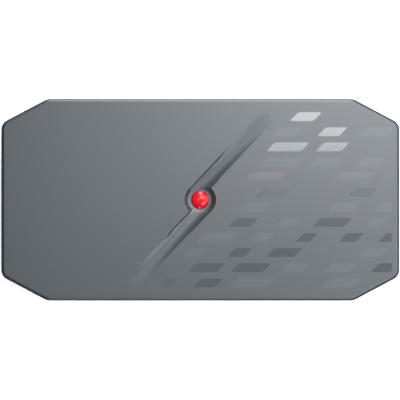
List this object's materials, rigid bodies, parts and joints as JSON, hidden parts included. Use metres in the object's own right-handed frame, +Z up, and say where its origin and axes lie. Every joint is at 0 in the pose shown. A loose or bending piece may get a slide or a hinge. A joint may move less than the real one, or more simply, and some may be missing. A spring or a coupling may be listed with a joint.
{
  "type": "video capture box",
  "caption": "Flat desk box with cut corners that records video passing through it; a lit lens sits in a swirl cut into its top, and its sockets are on the rear long side.",
  "frame": {"origin": "centre of the plane that the feet stand on", "axes": "+X along the long side, to the right seen from the front; +Y to the rear, where the sockets are; +Z up"},
  "size_m": [0.116, 0.0588, 0.019],
  "materials": {
    "cover_grey": "satin moulded",
    "base_charcoal": "fine spark-eroded grain",
    "lens_red": "clear polished",
    "foot_rubber": "matte",
    "screw_steel": "zinc plated",
    "board_green": "solder mask",
    "lamp_white": "moulded",
    "socket_steel": "nickel plated",
    "insulator_black": "moulded",
    "contact_gold": "gold plated",
    "chip_black": "moulded epoxy",
    "crystal_can": "stamped",
    "inductor_grey": "pressed powder",
    "capacitor_can": "drawn can",
    "capacitor_tan": "fired ceramic",
    "pad_blue": "soft silicone",
    "sink_aluminium": "extruded"
  },
  "bodies": {
    "root": {"top_cover": "cover_grey", "bottom_cover": "base_charcoal", "light_pipe": "lens_red", "foot_front_left": "foot_rubber", "foot_front_right": "foot_rubber", "foot_rear_left": "foot_rubber", "foot_rear_right": "foot_rubber", "case_screws": "screw_steel", "main_board": "board_green", "status_led": "lamp_white", "video_in_shell": "socket_steel", "video_in_insulator": "insulator_black", "video_in_contacts": "contact_gold", "video_out_shell": "socket_steel", "video_out_insulator": "insulator_black", "video_out_contacts": "contact_gold", "data_shell": "socket_steel", "data_insulator": "insulator_black", "data_contacts": "contact_gold", "capture_processor": "chip_black", "video_receiver": "chip_black", "video_repeater": "chip_black", "data_bridge": "chip_black", "memory_chips": "chip_black", "flash_chip": "chip_black", "crystals": "crystal_can", "power_inductors": "inductor_grey", "polymer_capacitors": "capacitor_can", "ceramic_capacitors": "capacitor_tan", "thermal_pad": "pad_blue", "heat_sink": "sink_aluminium"}
  },
  "joints": []
}
